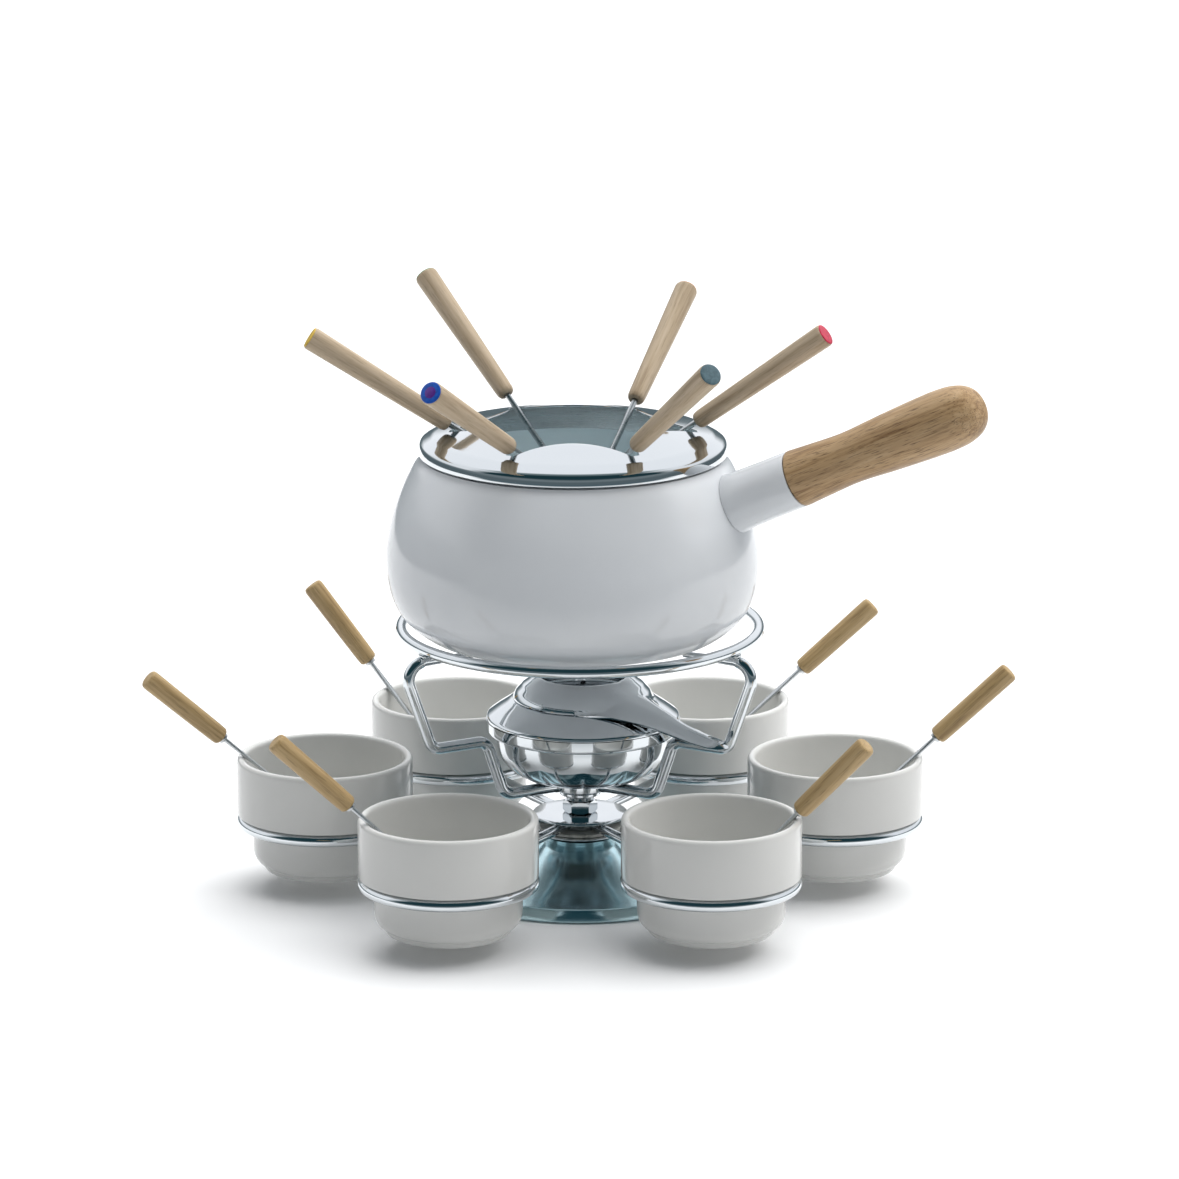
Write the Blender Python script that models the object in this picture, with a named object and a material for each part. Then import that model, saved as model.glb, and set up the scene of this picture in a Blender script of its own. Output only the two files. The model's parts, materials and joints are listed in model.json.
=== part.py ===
"""A rotating fondue set: pot, stand, burner, fork guard, six forks and a carousel of six sauce bowls.

Metres, +Z up. The origin is on the pedestal's axis, at the underside of its foot pad.
The front is -Y. Bowls, forks and notches are numbered anticlockwise from +X, every 60 degrees.
"""

import math

import bmesh
import bpy
from mathutils import Matrix, Vector

MM = 0.001
GAP = 0.3 * MM            # between pieces that touch on the real object
STATIONS = 6              # bowls, forks and notches
STEP_DEG = 360 / STATIONS

# Steps round a turned piece or a ring
WIDE, LARGE, MIDDLE, MEDIUM, GRIP, SMALL = 36, 28, 24, 20, 18, 10

# Pedestal and spindle stack
BASE_RADIUS = 75.2 * MM
STUD_RADIUS = 4.8 * MM
STUD_BORE = 5.2 * MM
BOSS_RADIUS = 13 * MM
BOSS_BOTTOM = 49.5 * MM
BOSS_TOP = 56 * MM

# Carousel
CAROUSEL_RADIUS = 130.6 * MM     # bowl centres
ARM_HEIGHT = 33.9 * MM
ARM_RADIUS = 2.7 * MM
BOWL_RING_RADIUS = 42.4 * MM     # centreline of each wire ring
WIRE_RADIUS = 3 * MM
RING_HEIGHT = 34 * MM
HUB_RADIUS = 24.5 * MM
HUB_BORE = 5.6 * MM

# Legs and pot ring
LEG_ANGLES = {"leg_back": 90, "leg_left": 210, "leg_right": 330}
POT_RING_RADIUS = 91 * MM
POT_RING_HEIGHT = 135.4 * MM
BEND_RADIUS = 7 * MM
TOP_BEND_RADIUS = 9 * MM

# Pot, guard and forks share one axis, a little left of the pedestal's
POT_X = -3.5 * MM
HANDLE_HEADING = -20
HANDLE_TILT = 25
HANDLE_START = Vector((110 * math.cos(math.radians(HANDLE_HEADING)),
                       110 * math.sin(math.radians(HANDLE_HEADING)), 218.3)) * MM
SOCKET_RADIUS = 14.6 * MM

# Guard: a cone of six tabs, each tab's inner edge an arc
TAB_ARC_RADIUS = 41.5 * MM
TAB_ARC_CENTRE = 84.9 * MM
NOTCH_END = 62.6 * MM
CONE_RADIUS = 74.5 * MM
CONE_HEIGHT = 235.2 * MM
CONE_SLOPE = 0.2

# Forks: (turn from the notch's own heading, tilt, start beyond the notch, side step, rise)
FORK_START_RADIUS = 62.2 * MM
FORK_START_HEIGHT = 241.1 * MM
FORK_HANDLE_LENGTH = 84 * MM
FORK_REACH = 140 * MM
FORKS = (
    (-17.6, 36.3, 0.0, 0.7, 1.1),
    (7.2, 32.6, 0.0, -0.4, 0.0),
    (11.4, 39.2, 3.9, 0.65, 0.0),
    (2.4, 33.0, 0.0, 0.7, 0.0),
    (-1.7, 29.9, 0.0, 0.1, 0.55),
    (2.2, 36.0, 1.8, -0.7, 0.5),
)

# Spreaders: (place on the bowl's rim, heading, tilt, neck length outside the rim)
RIM_RADIUS = 42.5 * MM
RIM_CENTRE_HEIGHT = 65.5 * MM
RIM_CLEARANCE = 3.1 * MM
BLADE_LENGTH = 72 * MM
SPREADER_HANDLE_LENGTH = 51 * MM
SPREADERS = (
    (-4, 1, 43, 12.0),
    (17, 5, 42, 14.5),
    (153, 170, 52.5, 14.0),
    (184, 193, 41.5, 13.0),
    (199, 190.5, 43.5, 11.0),
    (-3, -20, 47, 1.3),
)

# Burner and its regulator
BURNER_X = 1.5 * MM
LEVER_HEADING = -38

# Colours: base colour, metallic, roughness
CHROME = ((0.62, 0.65, 0.67), 1.0, 0.12)
SATIN_STEEL = ((0.50, 0.53, 0.55), 1.0, 0.3)
CAST_IRON = ((0.06, 0.06, 0.06), 0.6, 0.7)
FOOT_FOAM = ((0.03, 0.03, 0.03), 0.0, 0.9)
NYLON = ((0.75, 0.74, 0.70), 0.0, 0.5)
PORCELAIN = ((0.80, 0.79, 0.76), 0.0, 0.15)
ENAMEL = ((0.78, 0.79, 0.80), 0.0, 0.1)
PALE_BEECH = ((0.62, 0.46, 0.30), 0.0, 0.55)
OAK = ((0.45, 0.27, 0.13), 0.0, 0.5)


def clear_scene():
    for obj in list(bpy.data.objects):
        bpy.data.objects.remove(obj, do_unlink=True)


def material(name, finish):
    colour, metallic, roughness = finish
    mat = bpy.data.materials.new(name)
    mat.use_nodes = True
    shader = mat.node_tree.nodes["Principled BSDF"]
    shader.inputs["Base Color"].default_value = (*colour, 1)
    shader.inputs["Metallic"].default_value = metallic
    shader.inputs["Roughness"].default_value = roughness
    return mat


def place(name, data, finish, matrix=None, parent=None):
    """Links an object with its own material, at a world matrix, under an empty."""
    obj = bpy.data.objects.new(name, data)
    bpy.context.scene.collection.objects.link(obj)
    obj.parent = parent
    local = matrix or Matrix()
    obj.matrix_basis = parent.matrix_basis.inverted() @ local if parent else local
    if not data.materials:
        data.materials.append(None)
    obj.material_slots[0].link = "OBJECT"
    obj.material_slots[0].material = material(name, finish)
    return obj


def pivot(name, matrix):
    """An empty on a joint's axis."""
    empty = bpy.data.objects.new(name, None)
    bpy.context.scene.collection.objects.link(empty)
    empty.matrix_basis = matrix
    return empty


def aim(origin, heading, tilt):
    """A frame at a point, its +Z along a heading in plan and a tilt above the horizontal."""
    turn = Matrix.Rotation(math.radians(heading), 4, "Z") @ Matrix.Rotation(math.radians(90 - tilt), 4, "Y")
    return Matrix.Translation(origin) @ turn


def to_mesh(bm, name):
    bmesh.ops.recalc_face_normals(bm, faces=bm.faces[:])
    mesh = bpy.data.meshes.new(name)
    bm.to_mesh(mesh)
    bm.free()
    mesh.shade_smooth()
    mesh.set_sharp_from_angle(angle=math.radians(35))
    return mesh


def skin(bm, rings, closed):
    """Joins rings of vertices with faces. A ring of one vertex is a pole."""
    pairs = list(zip(rings, rings[1:]))
    if closed:
        pairs.append((rings[-1], rings[0]))
    for first, second in pairs:
        count = max(len(first), len(second))
        for k in range(count):
            after = (k + 1) % count
            corners = [first[k % len(first)], first[after % len(first)],
                       second[after % len(second)], second[k % len(second)]]
            corners = list(dict.fromkeys(corners))
            if len(corners) > 2:
                bm.faces.new(corners)


def turned(name, profile, steps):
    """A solid turned about Z. The profile is (radius, height) in millimetres, down one side and up the other:
    it either closes on itself or has both ends on the axis."""
    bm = bmesh.new()
    rings = []
    for radius, height in profile:
        if radius == 0:
            rings.append([bm.verts.new((0, 0, height * MM))])
            continue
        angles = [math.tau * k / steps for k in range(steps)]
        rings.append([bm.verts.new((radius * MM * math.cos(a), radius * MM * math.sin(a), height * MM))
                      for a in angles])
    skin(bm, rings, closed=len(rings[0]) > 1)
    return to_mesh(bm, name)


def lofted(name, sections, sides):
    """A closed bar along Z. Each section is (height, half size in X, half size in Y) in millimetres."""
    bm = bmesh.new()
    rings = []
    for height, half_x, half_y in sections:
        angles = [math.tau * (k + 0.5) / sides for k in range(sides)]
        rings.append([bm.verts.new((half_x * MM * math.cos(a), half_y * MM * math.sin(a), height * MM))
                      for a in angles])
    skin(bm, rings, closed=False)
    bm.faces.new(rings[0])
    bm.faces.new(rings[-1])
    return to_mesh(bm, name)


def wire(name, points, radius, cyclic=False, detail=2):
    """Round wire along a path, as a curve with a bevel."""
    curve = bpy.data.curves.new(name, "CURVE")
    curve.dimensions = "3D"
    curve.bevel_depth = radius
    curve.bevel_resolution = detail
    curve.use_fill_caps = not cyclic
    spline = curve.splines.new("POLY")
    spline.points.add(len(points) - 1)
    for target, point in zip(spline.points, points):
        target.co = (*point, 1)
    spline.use_cyclic_u = cyclic
    spline.use_smooth = True
    return curve


def circle(centre, radius, count):
    return [Vector(centre) + Vector((math.cos(a), math.sin(a), 0)) * radius
            for a in (math.tau * k / count for k in range(count))]


def rounded(points, radius, count=4):
    """A path with each inner corner replaced by an arc of the given bend radius."""
    path = [points[0]]
    for before, corner, after in zip(points, points[1:], points[2:]):
        to_before = (before - corner).normalized()
        to_after = (after - corner).normalized()
        half = to_before.angle(to_after) / 2
        cut = radius / math.tan(half)
        centre = corner + (to_before + to_after).normalized() * radius / math.sin(half)
        start = (corner + to_before * cut - centre).normalized()
        end = (corner + to_after * cut - centre).normalized()
        path += [centre + start.slerp(end, k / count) * radius for k in range(count + 1)]
    return path + [points[-1]]


def combined(name, first, second, operation):
    """The Boolean of two meshes, as a new mesh."""
    base = bpy.data.objects.new(name, first)
    tool = bpy.data.objects.new(name + "_tool", second)
    for obj in (base, tool):
        bpy.context.scene.collection.objects.link(obj)
    boolean = base.modifiers.new("boolean", "BOOLEAN")
    boolean.operation = operation
    boolean.object = tool
    boolean.solver = "EXACT"
    evaluated = base.evaluated_get(bpy.context.evaluated_depsgraph_get())
    result = bpy.data.meshes.new_from_object(evaluated)
    for obj in (base, tool):
        bpy.data.objects.remove(obj, do_unlink=True)
    result.name = name
    result.shade_smooth()
    result.set_sharp_from_angle(angle=math.radians(35))
    return result


# Pedestal and spindle stack -------------------------------------------------

def make_pedestal(root):
    pad = [(0, 0), (69.5, 0), (70, 0.5), (70, 1.6), (0, 1.6)]
    place("foot_pad", turned("foot_pad", pad, LARGE), FOOT_FOAM, parent=root)

    edge = BASE_RADIUS / MM
    shell = [(edge, 0.8), (edge, 6.0), (edge - 1.2, 7.2), (60, 10.5), (45, 14.0), (30, 18.4), (21, 22.0),
             (15.5, 26.0), (5.4, 26.0), (5.4, 24.6), (14.6, 24.6), (20, 20.8), (29.5, 16.9), (45, 12.5),
             (60, 9.0), (edge - 2, 5.8), (edge - 1.5, 0.8)]
    place("base_shell", turned("base_shell", shell, LARGE), CHROME, parent=root)

    ballast = [(72.4, 1.9), (72.6, 5.3), (60, 8.4), (45, 11.9), (29.5, 16.2), (5.4, 16.2), (5.4, 8.0),
               (9.5, 8.0), (9.5, 1.9)]
    place("base_ballast", turned("base_ballast", ballast, MEDIUM), CAST_IRON, parent=root)

    stud = STUD_RADIUS / MM
    bolt = [(0, 2.4), (8.2, 2.4), (8.2, 7.7), (stud, 7.7), (stud, 54.6), (stud - 0.8, 55.4), (0, 55.4)]
    place("tie_bolt", turned("tie_bolt", bolt, SMALL), SATIN_STEEL, parent=root)

    bore = STUD_BORE / MM
    dish = [(bore, 26.3), (13.5, 26.3), (22.0, 28.0), (23.5, 29.2), (bore, 29.2)]
    place("bearing_dish", turned("bearing_dish", dish, MEDIUM), CHROME, parent=root)
    washer = [(6.2, 29.5), (21, 29.5), (21, 30.8), (6.2, 30.8)]
    place("bearing_washer", turned("bearing_washer", washer, MEDIUM), NYLON, parent=root)

    hex_bore = bore / math.cos(math.pi / 6)
    nut = [(hex_bore, 38.2), (8.2, 38.2), (8.9, 38.9), (8.9, 43.5), (8.2, 44.2), (hex_bore, 44.2)]
    place("clamp_nut", turned("clamp_nut", nut, 6), CHROME, parent=root)
    collar = [(bore, 44.5), (7, 44.5), (7, 46.4), (10.5, 47.4), (10.5, 49.2), (bore, 49.2)]
    place("spacer_collar", turned("spacer_collar", collar, MEDIUM), CHROME, parent=root)

    outer = BOSS_RADIUS / MM
    low, high = BOSS_BOTTOM / MM, BOSS_TOP / MM
    boss = [(bore, low), (outer - 1, low), (outer, low + 1), (outer, high), (bore, high)]
    place("leg_boss", turned("leg_boss", boss, MEDIUM), CHROME, parent=root)


# Carousel --------------------------------------------------------------------

def station(index):
    """Heading in degrees and centre of a bowl."""
    heading = index * STEP_DEG
    angle = math.radians(heading)
    return heading, Vector((math.cos(angle), math.sin(angle), 0)) * CAROUSEL_RADIUS


def make_carousel():
    turn = pivot("carousel_axis", Matrix.Translation((0, 0, RING_HEIGHT)))
    bore, rim = HUB_BORE / MM, HUB_RADIUS / MM
    plate = [(bore, 31.1), (14, 31.1), (14, 36.2), (rim - 0.6, 36.2), (rim, 36.8), (rim - 0.6, 37.8),
             (bore, 37.8)]
    hub = turned("hub_plate", plate, MIDDLE)
    arm_length = (CAROUSEL_RADIUS - BOWL_RING_RADIUS - WIRE_RADIUS - GAP) / MM
    arm = [(9, ARM_RADIUS / MM, ARM_RADIUS / MM), (arm_length, ARM_RADIUS / MM, ARM_RADIUS / MM)]
    for index in range(STATIONS):
        bar = lofted("arm", arm, 8)
        bar.transform(aim(Vector((0, 0, ARM_HEIGHT)), index * STEP_DEG, 0))
        hub = combined("carousel_hub", hub, bar, "UNION")
    place("carousel_hub", hub, CHROME, parent=turn)
    for index in range(STATIONS):
        centre = station(index)[1] + Vector((0, 0, RING_HEIGHT))
        name = f"bowl_ring_{index + 1}"
        path = circle(centre, BOWL_RING_RADIUS, MEDIUM)
        place(name, wire(name, path, WIRE_RADIUS, cyclic=True, detail=1), CHROME, parent=turn)


def make_bowls():
    profile = [(0, 8.5), (30.6, 8.5), (32.2, 11.6), (34.8, 13.2), (36.9, 17.4), (37, 36.4), (38.2, 37.5),
               (45, 37.5), (45, 65.8), (43.4, 67.5), (42.0, 67.5), (40.6, 66.0), (40.4, 43.0), (32, 34), (32, 17.5),
               (27, 13.5), (0, 13.5)]
    bowl = turned("sauce_bowl", profile, MEDIUM)
    for index in range(STATIONS):
        matrix = Matrix.Translation(station(index)[1])
        place(f"sauce_bowl_{index + 1}", bowl, PORCELAIN, matrix)


def spreader_frame(index):
    """The frame at the near end of a spreader's handle, +Z out along the handle."""
    on_rim, heading, tilt, neck = SPREADERS[index]
    angle = math.radians(on_rim)
    height = RIM_CENTRE_HEIGHT + RIM_CLEARANCE / math.cos(math.radians(tilt))
    contact = station(index)[1] + Vector((math.cos(angle), math.sin(angle), 0)) * RIM_RADIUS
    contact.z = height
    frame = aim(contact, heading, tilt)
    return frame @ Matrix.Translation((0, 0, neck * MM))


def make_spreaders():
    length = BLADE_LENGTH / MM
    steel = [(-length, 0.35, 0.5), (-length + 2, 0.5, 2.0), (-length + 10, 0.6, 2.7), (-10, 0.6, 2.4),
             (-1.6, 0.9, 1.3), (-1.5, 2.7, 2.7), (-0.1, 2.7, 2.7), (0, 1.1, 1.1), (14, 1.1, 1.1)]
    blade = lofted("spreader_blade", steel, 8)
    end = SPREADER_HANDLE_LENGTH / MM
    wood = [(0, 15), (1.5, 15), (1.5, 0.3), (4.2, 0.3), (4.7, 1.2), (5.2, end - 2), (4.6, end - 0.5), (0, end)]
    handle = turned("spreader_handle", wood, SMALL)
    for index in range(STATIONS):
        frame = spreader_frame(index)
        slide = pivot(f"spreader_axis_{index + 1}", frame)
        place(f"spreader_blade_{index + 1}", blade, SATIN_STEEL, frame, slide)
        place(f"spreader_handle_{index + 1}", handle, PALE_BEECH, frame, slide)


# Legs and pot ring -------------------------------------------------------------

def make_legs(root):
    corners = [(BOSS_RADIUS / MM + 0.3, 53), (44.5, 53), (54.9, 82.6), (86.2, 82.6), (103.2, 129), (60, 129)]
    for name, heading in LEG_ANGLES.items():
        angle = math.radians(heading)
        points = [Vector((r * math.cos(angle), r * math.sin(angle), z)) * MM for r, z in corners]
        path = rounded(points[:5], BEND_RADIUS)[:-1] + rounded(points[3:], TOP_BEND_RADIUS)[1:]
        place(name, wire(name, path, WIRE_RADIUS), CHROME, parent=root)
    path = circle((0, 0, POT_RING_HEIGHT), POT_RING_RADIUS, WIDE)
    place("pot_ring", wire("pot_ring", path, WIRE_RADIUS, cyclic=True, detail=1), CHROME, parent=root)


# Burner --------------------------------------------------------------------------

def make_burner():
    lift = pivot("burner_axis", Matrix.Translation((BURNER_X, 0, BOSS_TOP)))
    matrix = Matrix.Translation((BURNER_X, 0, 0))
    bowl = [(0, 56.4), (22, 56.6), (30, 57.9), (35.4, 60.5), (39.6, 64.2), (42.8, 70), (44.3, 77.5), (44.4, 81.4),
            (49.0, 81.9), (49.6, 82.6), (49.6, 87.5), (48.4, 87.5), (48.4, 83.2), (43.2, 82.6), (42.9, 77.6),
            (41.5, 70.6), (38.5, 65.2), (34.7, 61.8), (29.6, 59.2), (21.9, 57.9), (0, 57.8)]
    place("burner_bowl", turned("burner_bowl", bowl, MIDDLE), CHROME, matrix, lift)
    cup = [(0, 58.2), (15, 58.2), (24, 60.6), (30, 63.6), (30, 86), (28.8, 86), (28.8, 64.8), (23.4, 61.9),
           (14.8, 59.4), (0, 59.4)]
    place("fuel_cup", turned("fuel_cup", cup, MEDIUM), SATIN_STEEL, matrix, lift)
    gauze = [(0, 79.5), (28.4, 79.5), (28.4, 80.5), (0, 80.5)]
    place("fuel_gauze", turned("fuel_gauze", gauze, MEDIUM), SATIN_STEEL, matrix, lift)
    cover = [(49.4, 87.8), (49.4, 89.4), (47.6, 91.0), (36.6, 97.8), (35.4, 98.4), (25.5, 98.4), (25.5, 97.3),
             (35.2, 97.3), (46.6, 90.2), (47.6, 87.8)]
    place("burner_cover", turned("burner_cover", cover, MIDDLE), CHROME, matrix, lift)

    dome = [(36.0, 98.7), (35.2, 101.4), (31.4, 105.2), (26.4, 108.4), (23, 110.4), (21.6, 110.4),
            (21.4, 109.4), (25.4, 107.0), (30.2, 104.0), (33.8, 100.6), (34.4, 98.7)]
    lever = lever_mesh()
    regulator = combined("regulator", turned("regulator_dome", dome, MIDDLE), lever, "UNION")
    turn = pivot("regulator_axis", Matrix.Translation((BURNER_X, 0, BOSS_TOP)))
    place("regulator", regulator, CHROME, matrix, turn)


def lever_mesh():
    """The regulator's arched arm, as a bar lofted outwards from the dome. A section is
    (distance out, half width on the front side, half width on the back side, height of ridge, height of edges)."""
    arm = [(27, 24.5, 22.0, 105.6, 100.0), (36, 20.0, 15.6, 102.4, 98.6), (44, 15.2, 10.8, 100.0, 95.9),
           (52, 11.4, 8.6, 97.1, 92.9), (62, 8.3, 7.0, 93.8, 90.0), (72, 6.7, 6.4, 91.2, 87.9),
           (80, 6.3, 6.2, 89.7, 86.8), (88, 6.1, 6.1, 88.9, 86.5), (92.5, 3.6, 3.6, 88.4, 86.7)]
    thickness = 1.4
    bm = bmesh.new()
    rings = []
    for distance, front, back, ridge, edge in arm:
        top = [(-front, edge), (-0.5 * front, 0.3 * edge + 0.7 * ridge), (0, ridge),
               (0.5 * back, 0.3 * edge + 0.7 * ridge), (back, edge)]
        bottom = [(side, height - thickness) for side, height in reversed(top)]
        rings.append([bm.verts.new(Vector((distance, side, height)) * MM) for side, height in top + bottom])
    skin(bm, rings, closed=False)
    bm.faces.new(rings[0])
    bm.faces.new(rings[-1])
    bmesh.ops.rotate(bm, verts=bm.verts[:], matrix=Matrix.Rotation(math.radians(LEVER_HEADING), 3, "Z"))
    return to_mesh(bm, "lever")


# Pot ------------------------------------------------------------------------------

POT_OUTSIDE = [(0, 132.3), (68, 132.3), (76.5, 135.0), (84.5, 141.0), (90.5, 148.6), (94, 159), (95, 171),
               (94.0, 183), (91.2, 196), (86.8, 208), (81.6, 219.2), (77.6, 224.2), (76.6, 225.5)]
POT_INSIDE = [(74.6, 225.5), (74.8, 223.4), (79.8, 217.6), (84.8, 207.2), (89.2, 195.4), (92, 182.6), (93, 171),
              (92.1, 159.6), (88.8, 149.8), (83.2, 142.6), (75.8, 137.0), (68, 134.3), (0, 134.3)]


def make_pot():
    lift = pivot("pot_axis", Matrix.Translation((POT_X, 0, POT_OUTSIDE[0][1] * MM)))
    matrix = Matrix.Translation((POT_X, 0, 0))
    place("pot_body", turned("pot_body", POT_OUTSIDE + POT_INSIDE, LARGE), ENAMEL, matrix, lift)

    along = aim(HANDLE_START, HANDLE_HEADING, HANDLE_TILT)
    outer = SOCKET_RADIUS / MM
    tube = [(0, -40), (outer, -40), (outer, 9.2), (outer - 0.6, 9.8), (outer - 1.5, 9.8), (outer - 1.5, -14),
            (0, -14)]
    socket = turned("socket_tube", tube, GRIP)
    socket.transform(along)
    clear = [(r + 0.45 if r else 0, z) for r, z in POT_OUTSIDE] + [(0, 226.5)]
    socket = combined("handle_socket", socket, turned("pot_clearance", clear, LARGE), "DIFFERENCE")
    place("handle_socket", socket, ENAMEL, matrix, lift)

    spigot = outer - 1.9
    wood = [(0, 62), (2.9, 62), (2.9, -10), (spigot, -10), (spigot, 10.1), (outer - 0.6, 10.1), (outer, 10.7),
            (13.9, 24), (13.1, 40), (14.1, 58), (15.1, 76), (15.7, 93), (14.4, 105), (10.8, 112.4), (5, 115.9),
            (0, 116.5)]
    place("pot_handle", turned("pot_handle", wood, GRIP), OAK, matrix @ along, lift)
    rod = [(0, -13.6), (7.5, -13.6), (7.5, -10.3), (2.5, -10.3), (2.5, 60), (0, 60)]
    place("handle_rod", turned("handle_rod", rod, SMALL), SATIN_STEEL, matrix @ along, lift)


# Guard and forks --------------------------------------------------------------------

def tab_edge(turn_deg):
    """Radius of the guard's inner edge, by the angle from the middle of a tab."""
    angle = math.radians(abs(turn_deg))
    inside = TAB_ARC_RADIUS ** 2 - (TAB_ARC_CENTRE * math.sin(angle)) ** 2
    if inside <= 0:
        return NOTCH_END
    return min(NOTCH_END, TAB_ARC_CENTRE * math.cos(angle) - math.sqrt(inside))


def cone_height(radius):
    return CONE_HEIGHT + (CONE_RADIUS - radius) * CONE_SLOPE


def make_guard():
    lift = pivot("guard_axis", Matrix.Translation((POT_X, 0, CONE_HEIGHT)))
    section = [(74.5, 235.2), (77.2, 234.0), (78.3, 231.4), (78.3, 227.8), (77.5, 225.8), (73.6, 225.8),
               (73.6, 222.4), (72.7, 222.4), (72.7, 234.4)]
    within_tab = (-27.8, -25.5, -20, -10, 0, 10, 20, 25.5, 27.8)
    bm = bmesh.new()
    rings = []
    for index in range(STATIONS):
        middle = (index + 0.5) * STEP_DEG
        for turn_deg in within_tab:
            angle = math.radians(middle + turn_deg)
            edge = tab_edge(turn_deg)
            column = [(edge, cone_height(edge) - MM), (edge, cone_height(edge))]
            column += [(r * MM, z * MM) for r, z in section]
            rings.append([bm.verts.new((r * math.cos(angle), r * math.sin(angle), z)) for r, z in column])
    skin(bm, rings, closed=True)
    place("splash_guard", to_mesh(bm, "splash_guard"), CHROME, Matrix.Translation((POT_X, 0, 0)), lift)


def fork_frame(index):
    """The frame at the near end of a fork's handle, +Z out along the handle."""
    turn_deg, tilt, beyond, side, rise = FORKS[index]
    heading = index * STEP_DEG
    angle = math.radians(heading)
    start = Vector((POT_X + FORK_START_RADIUS * math.cos(angle) - side * MM * math.sin(angle),
                    FORK_START_RADIUS * math.sin(angle) + side * MM * math.cos(angle),
                    FORK_START_HEIGHT + rise * MM))
    return aim(start, heading + turn_deg, tilt) @ Matrix.Translation((0, 0, beyond * MM))


def make_forks():
    tip = -FORK_REACH / MM
    steel = [(tip, 0.4, 2.0), (tip + 3, 0.7, 2.9), (tip + 30, 0.7, 2.9), (tip + 38, 1.3, 1.5),
             (-1, 1.5, 1.5), (18, 1.5, 1.5)]
    slot = [(tip - 2, 3, 1.3), (tip + 28, 3, 1.3)]
    shaft = combined("fork_shaft", lofted("prong", steel, 6), lofted("slot", slot, 4), "DIFFERENCE")
    end = FORK_HANDLE_LENGTH / MM
    wood = [(0, 20), (1.9, 20), (1.9, 0.2), (3.6, 0.2), (4.5, 1.6), (6.0, end - 1), (5.4, end - 0.2), (0, end)]
    handle = turned("fork_handle", wood, SMALL)
    for index in range(STATIONS):
        frame = fork_frame(index)
        slide = pivot(f"fork_axis_{index + 1}", frame)
        place(f"fork_shaft_{index + 1}", shaft, SATIN_STEEL, frame, slide)
        place(f"fork_handle_{index + 1}", handle, PALE_BEECH, frame, slide)


def main():
    clear_scene()
    root = pivot("stand", Matrix())
    make_pedestal(root)
    make_legs(root)
    make_carousel()
    make_bowls()
    make_spreaders()
    make_burner()
    make_pot()
    make_guard()
    make_forks()


main()
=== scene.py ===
"""The fondue set's visual model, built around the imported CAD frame.

Helpers take millimetres in a piece's own frame, +Z up or out along a handle, and return meshes in metres.
"""

import json
import math

import bmesh
import bpy
import numpy as np
from mathutils import Matrix, Vector


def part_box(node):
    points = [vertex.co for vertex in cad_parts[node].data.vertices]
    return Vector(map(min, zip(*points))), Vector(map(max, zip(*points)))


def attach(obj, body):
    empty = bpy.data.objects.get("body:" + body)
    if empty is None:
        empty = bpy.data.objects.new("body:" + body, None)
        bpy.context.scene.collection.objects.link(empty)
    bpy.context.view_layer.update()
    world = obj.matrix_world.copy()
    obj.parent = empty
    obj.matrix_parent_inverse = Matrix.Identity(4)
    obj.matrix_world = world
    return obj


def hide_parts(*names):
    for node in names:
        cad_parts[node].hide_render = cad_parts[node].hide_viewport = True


MM = 0.001
STATIONS = range(1, 7)
LEVER_HEADING = math.radians(-38)

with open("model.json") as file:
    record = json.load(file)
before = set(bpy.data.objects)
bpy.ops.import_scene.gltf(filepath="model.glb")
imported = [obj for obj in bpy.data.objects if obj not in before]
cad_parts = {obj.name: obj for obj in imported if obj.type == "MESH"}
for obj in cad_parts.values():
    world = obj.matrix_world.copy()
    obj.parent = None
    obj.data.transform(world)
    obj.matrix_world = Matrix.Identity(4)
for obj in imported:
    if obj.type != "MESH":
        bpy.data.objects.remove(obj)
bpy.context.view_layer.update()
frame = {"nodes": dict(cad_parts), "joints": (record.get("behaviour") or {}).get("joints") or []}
joints = {joint["name"]: joint for joint in frame["joints"]}


# Shapes ------------------------------------------------------------------------

def to_mesh(bm, name, sharp=35):
    bmesh.ops.recalc_face_normals(bm, faces=bm.faces[:])
    mesh = bpy.data.meshes.new(name)
    bm.to_mesh(mesh)
    bm.free()
    mesh.shade_smooth()
    mesh.set_sharp_from_angle(angle=math.radians(sharp))
    return mesh


def skin(bm, rings, closed):
    """Joins rings of vertices with faces. A ring of one vertex is a pole."""
    pairs = list(zip(rings, rings[1:]))
    if closed:
        pairs.append((rings[-1], rings[0]))
    for first, second in pairs:
        count = max(len(first), len(second))
        for k in range(count):
            after = (k + 1) % count
            corners = [first[k % len(first)], first[after % len(first)],
                       second[after % len(second)], second[k % len(second)]]
            corners = list(dict.fromkeys(corners))
            if len(corners) > 2:
                bm.faces.new(corners)


def flowing(points, per=6):
    """A smooth curve through points (Catmull-Rom), as a denser list."""
    pts = [np.array(p, float) for p in points]
    ends = [2 * pts[0] - pts[1], *pts, 2 * pts[-1] - pts[-2]]
    out = []
    for a, b, c, d in zip(ends, ends[1:], ends[2:], ends[3:]):
        for k in range(per):
            t = k / per
            out.append(0.5 * (2 * b + (c - a) * t + (2 * a - 5 * b + 4 * c - d) * t * t
                              + (3 * b - a - 3 * c + d) * t ** 3))
    return [tuple(p) for p in out] + [tuple(pts[-1])]


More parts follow.
